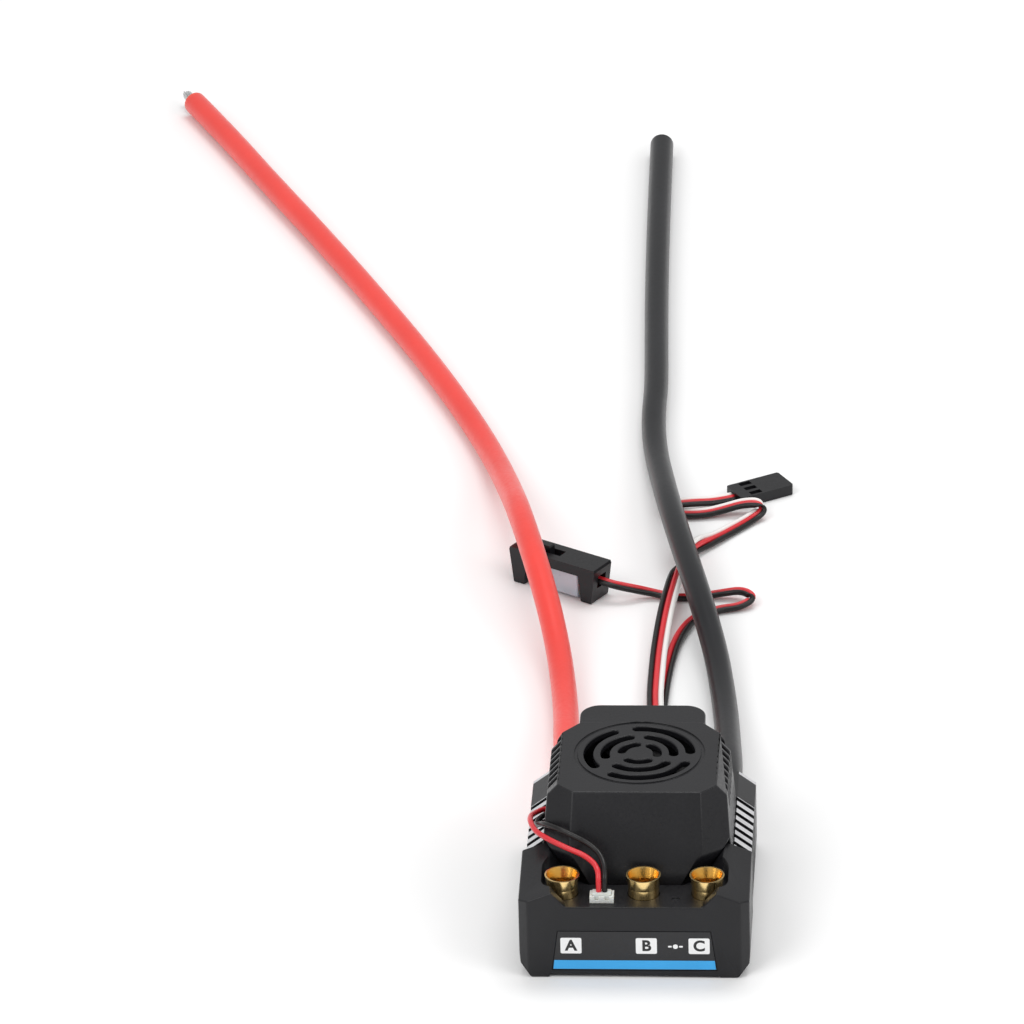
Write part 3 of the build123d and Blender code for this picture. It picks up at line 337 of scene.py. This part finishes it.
# ------------------------------------------------------------------ moulded parts with rounded edges
def rounded_copy(name, width, look, shallow, sharp):
    """A copy of a moulded part with its edges rounded; edges that shallow(point) picks get a third of the width,
    and those that sharp(point) picks stay as they are."""
    src = nodes[name]
    mesh = src.data.copy()
    bm = bmesh.new()
    bm.from_mesh(mesh)
    bmesh.ops.remove_doubles(bm, verts=bm.verts, dist=0.000002)
    bmesh.ops.dissolve_limit(bm, angle_limit=math.radians(0.6), verts=bm.verts, edges=bm.edges)
    weight = bm.edges.layers.float.get("bevel_weight_edge") or bm.edges.layers.float.new("bevel_weight_edge")
    for e in bm.edges:
        if len(e.link_faces) != 2:
            continue
        if e.calc_face_angle(0.0) > math.radians(32) and e.calc_length() > 0.0001:
            middle = (e.verts[0].co + e.verts[1].co) / 2
            e[weight] = 0.0 if sharp(middle * 1000) else 0.3 if shallow(middle * 1000) else 1.0
        if 0.2 < e.calc_face_angle(0.0):
            e.smooth = False
    for f in bm.faces:
        f.smooth = True
    bm.to_mesh(mesh)
    bm.free()
    obj = bpy.data.objects.new(name + "_rounded", mesh)
    obj.matrix_world = src.matrix_world.copy()
    scene.collection.objects.link(obj)
    bevel = obj.modifiers.new("round", "BEVEL")
    bevel.limit_method = "WEIGHT"
    bevel.width = width * MM
    bevel.segments = 3
    bevel.use_clamp_overlap = False
    bevel.harden_normals = False
    even = obj.modifiers.new("even_normals", "WEIGHTED_NORMAL")
    even.keep_sharp = False
    even.weight = 80
    bpy.context.view_layer.update()
    baked = bpy.data.meshes.new_from_object(obj.evaluated_get(bpy.context.evaluated_depsgraph_get()))
    obj.modifiers.clear()
    low = [min(v.co[k] for v in src.data.vertices) for k in range(3)]
    high = [max(v.co[k] for v in src.data.vertices) for k in range(3)]
    for v in baked.vertices:
        for k in range(3):
            v.co[k] = min(high[k], max(low[k], v.co[k]))
    obj.data = baked
    baked.materials.clear()
    finish_piece(obj, [look])
    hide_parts(name)
    return obj


rounded_copy("fan_shroud", 0.34, shroud_plastic,
             lambda p: p.z > 33.2 and 13.2 < math.hypot(p.x, p.y - 8.9) < 14.6, lambda p: p.z < 19.0)
rounded_copy("front_cover", 0.35, black_plastic, lambda p: p.y < -29.2 and 0.8 < p.z < 12.5 and abs(p.x) < 19.5,
             lambda p: (abs(p.x) < 21.5 and p.y > -28.4) or p.z < 0.4)


# ------------------------------------------------------------------ battery leads
def strands(name, route, reach, radius=1.55):
    """A stripped end: a twisted bundle of tinned strands running out of the cut insulation."""
    path = line_of(route)
    end = path[-1]
    t = (path[-1] - path[-3]).normalized()
    a = t.cross(Vector((0, 0, 1))).normalized()
    b = t.cross(a)
    bm = bmesh.new()
    spots = [(0.0, 0.0)]
    for ring, count in ((0.52, 6), (1.05, 12)):
        spots += [(ring, 2 * math.pi * k / count) for k in range(count)]
    rs = 0.30 * MM
    for ring, angle in spots:
        length = reach * (1 - 0.10 * ring + random.uniform(-0.06, 0.06))
        rows = []
        for i in range(9):
            s = i / 8
            twist = angle + 0.9 * s
            r = ring * (1.05 - 0.16 * s) * MM
            c = end + t * ((-0.9 + (length + 0.9) * s) * MM) + (a * math.cos(twist) + b * math.sin(twist)) * r
            rr = rs * (1.0 if i < 8 else 0.55)
            rows.append([bm.verts.new(c + (a * math.cos(q) + b * math.sin(q)) * rr)
                         for q in (2 * math.pi * j / 8 for j in range(8))])
        for r0, r1 in zip(rows, rows[1:]):
            for j in range(8):
                bm.faces.new((r0[j], r0[(j + 1) % 8], r1[(j + 1) % 8], r1[j]))
        bm.faces.new(rows[0][::-1])
        bm.faces.new(rows[-1])
    bmesh.ops.recalc_face_normals(bm, faces=bm.faces)
    mesh = bpy.data.meshes.new(name)
    bm.to_mesh(mesh)
    bm.free()
    for p in mesh.polygons:
        p.use_smooth = True
    obj = bpy.data.objects.new(name, mesh)
    scene.collection.objects.link(obj)
    return obj


tip_red = finish_piece(strands("red_strands", red_route, 6.6), [tin])
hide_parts("lead_tip_red")
tip_black = finish_piece(strands("black_strands", black_route, 4.7), [tin])
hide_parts("lead_tip_black")

lead_red = finish_piece(nurbs("red_lead", red_route, 2.9 * MM), [red_silicone])
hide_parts("battery_lead_red")
lead_black = finish_piece(nurbs("black_lead", black_route, 2.9 * MM), [black_silicone])
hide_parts("battery_lead_black")


# ------------------------------------------------------------------ ribbon cables
def ribbon(name, route, widths, colours, wire_r, sides):
    """Round insulated wires side by side, touching, following the line of the route.
    widths: list of (fraction of the points, vector from the first wire's side to the last's)."""
    path = line_of(route)
    n = len(path)
    bm = bmesh.new()
    across = []
    for i, p in enumerate(path):
        t = (path[min(i + 1, n - 1)] - path[max(i - 1, 0)]).normalized()
        f = i / (n - 1) * (len(route) - 1)
        k = 0
        while k < len(widths) - 2 and widths[k + 1][0] < f:
            k += 1
        (f0, w0), (f1, w1) = widths[k], widths[k + 1]
        s = min(1, max(0, (f - f0) / (f1 - f0)))
        s = s * s * (3 - 2 * s)
        w = Vector(w0).lerp(Vector(w1), s)
        w = (w - t * w.dot(t)).normalized()
        across.append((p, t, w))
    offsets = [(j - (len(colours) - 1) / 2) * 2 * wire_r * MM for j in range(len(colours))]
    seg = 14
    for j, off in enumerate(offsets):
        rows = []
        for p, t, w in across:
            up_v = w.cross(t)
            c = p + w * off
            rows.append([bm.verts.new(c + (w * math.cos(q) + up_v * math.sin(q)) * wire_r * MM)
                         for q in (2 * math.pi * k / seg for k in range(seg))])
        for r0, r1 in zip(rows, rows[1:]):
            for k in range(seg):
                face = bm.faces.new((r0[k], r0[(k + 1) % seg], r1[(k + 1) % seg], r1[k]))
                face.material_index = j
                face.smooth = True
        for end_row in (rows[0][::-1], rows[-1]):
            face = bm.faces.new(end_row)
            face.material_index = j
    bmesh.ops.recalc_face_normals(bm, faces=bm.faces)
    mesh = bpy.data.meshes.new(name)
    bm.to_mesh(mesh)
    bm.free()
    obj = bpy.data.objects.new(name, mesh)
    scene.collection.objects.link(obj)
    return obj, path


north = (-0.2, 1.0, 0.0)
servo, servo_path = ribbon(
    "receiver_ribbon", servo_route,
    [(0, (1, 0, 0)), (7, (1, 0, 0)), (8.6, (1, 0.15, 0)), (10.6, (-0.05, 0.35, 1)), (12.2, (-0.8, 0.6, 0.1)),
     (14, (-0.6, 0.8, 0)), (15.4, (-0.25, 0.95, 0)), (17, (-0.05, 1, 0)), (22, (0.0, 1, 0)), (24, (-0.2, 1, 0)), (26, (-0.52, 0.855, 0))],
    [black_pvc, red_pvc, white_pvc], 0.65, 3)
finish_piece(servo, [black_pvc, red_pvc, white_pvc])
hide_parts("servo_cable")

switch, switch_path = ribbon(
    "switch_ribbon", switch_route,
    [(0, (-1, 0, 0)), (8, (-1, 0.1, 0)), (10, (-0.7, 0.7, 0)), (12, (-0.1, 1, 0)), (13, (0.0, 1, 0)), (15, (0, 1, 0)), (21, (0.53, 0.85, 0))],
    [black_pvc, red_pvc], 0.65, 2)
finish_piece(switch, [black_pvc, red_pvc])
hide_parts("switch_cable")


# ------------------------------------------------------------------ label print
def slab(name, outline, y, depth, mats):
    """A thin flat print on the label: outline in x,z millimetres, front face at y, facing -Y."""
    bm = bmesh.new()
    front = [bm.verts.new((x * MM, y * MM, z * MM)) for x, z in outline]
    rear = [bm.verts.new((x * MM, (y + depth) * MM, z * MM)) for x, z in outline]
    bm.faces.new(front)
    bm.faces.new(rear[::-1])
    m = len(outline)
    for i in range(m):
        bm.faces.new((front[i], rear[i], rear[(i + 1) % m], front[(i + 1) % m]))
    bmesh.ops.recalc_face_normals(bm, faces=bm.faces)
    mesh = bpy.data.meshes.new(name)
    bm.to_mesh(mesh)
    bm.free()
    obj = bpy.data.objects.new(name, mesh)
    scene.collection.objects.link(obj)
    return finish_piece(obj, mats)


def rounded(x0, z0, x1, z1, r, n=4):
    pts = []
    for cx, cz, a0 in ((x1 - r, z1 - r, 0), (x0 + r, z1 - r, 90), (x0 + r, z0 + r, 180), (x1 - r, z0 + r, 270)):
        for k in range(n + 1):
            a = math.radians(a0 + 90 * k / n)
            pts.append((cx + r * math.cos(a), cz + r * math.sin(a)))
    return pts


label_y = -29.94
for letter, x0, x1 in (("A", -15.95, -11.40), ("B", 0.34, 4.90), ("C", 11.75, 16.30)):
    slab("label_box_" + letter, rounded(x0, 5.75, x1, 9.60, 0.35), label_y - 0.03, 0.03, [white_ink])
    font = bpy.data.curves.new("letter_" + letter, "FONT")
    font.body = letter
    font.size = 3.6 * MM
    font.offset = 0.12 * MM
    font.extrude = 0.012 * MM
    font.align_x = "CENTER"
    font.align_y = "CENTER"
    raw = bpy.data.objects.new("raw", font)
    scene.collection.objects.link(raw)
    raw.matrix_world = Matrix.Translation(((x0 + x1) / 2 * MM, (label_y - 0.034) * MM, 7.62 * MM)) @ Matrix.Rotation(math.pi / 2, 4, "X")
    bpy.context.view_layer.update()
    mesh = bpy.data.meshes.new_from_object(raw)
    mesh.transform(raw.matrix_world)
    bpy.data.objects.remove(raw)
    text = bpy.data.objects.new("label_letter_" + letter, mesh)
    scene.collection.objects.link(text)
    text.data.materials.clear()
    finish_piece(text, [black_ink])
slab("label_stripe", [(-17.35, 4.06), (17.35, 4.06), (17.58, 1.92), (-17.58, 1.92)], label_y - 0.03, 0.03, [blue_ink])
# a plain light mark beside the third box: a dot between two short bars
for k, (xa, xb) in enumerate(((7.3, 8.1), (9.7, 10.5))):
    slab("label_bar_%d" % k, rounded(xa, 7.35, xb, 7.75, 0.15), label_y - 0.03, 0.03, [white_ink])
slab("label_dot", [(8.9 + 0.55 * math.cos(a), 7.55 + 0.55 * math.sin(a)) for a in (2 * math.pi * k / 20 for k in range(20))],
     label_y - 0.03, 0.03, [white_ink])

# ------------------------------------------------------------------ stage and light
bm = bmesh.new()
size = 3.0
floor_verts = [bm.verts.new(v) for v in ((-size, -size, -0.0002), (size, -size, -0.0002), (size, size, -0.0002), (-size, size, -0.0002))]
bm.faces.new(floor_verts)
floor_mesh = bpy.data.meshes.new("floor")
bm.to_mesh(floor_mesh)
bm.free()
floor = bpy.data.objects.new("floor", floor_mesh)
scene.collection.objects.link(floor)
floor_look, _, _ = material("floor_look", (0.93, 0.93, 0.93), 0.85)
floor.data.materials.append(floor_look)

world = bpy.data.worlds.new("studio")
world.use_nodes = True
world.node_tree.nodes["Background"].inputs["Color"].default_value = (1, 1, 1, 1)
world.node_tree.nodes["Background"].inputs["Strength"].default_value = 0.62
scene.world = world
scene.view_settings.view_transform = "Standard"


def area(name, place, target, width, height, power):
    light = bpy.data.lights.new(name, "AREA")
    light.shape = "RECTANGLE"
    light.size = width
    light.size_y = height
    light.energy = power
    obj = bpy.data.objects.new(name, light)
    place = Vector(place)
    obj.matrix_world = Matrix.Translation(place) @ (Vector(target) - place).to_track_quat("-Z", "Y").to_matrix().to_4x4()
    scene.collection.objects.link(obj)


area("key", (-0.7, -0.7, 1.1), (0, 0.05, 0.02), 0.7, 0.7, 6.5)
area("fill", (0.9, -0.4, 0.8), (0, 0.05, 0.02), 0.6, 0.6, 3.5)
area("top", (0.1, 0.5, 1.2), (0, 0.1, 0.0), 0.8, 0.5, 5.0)
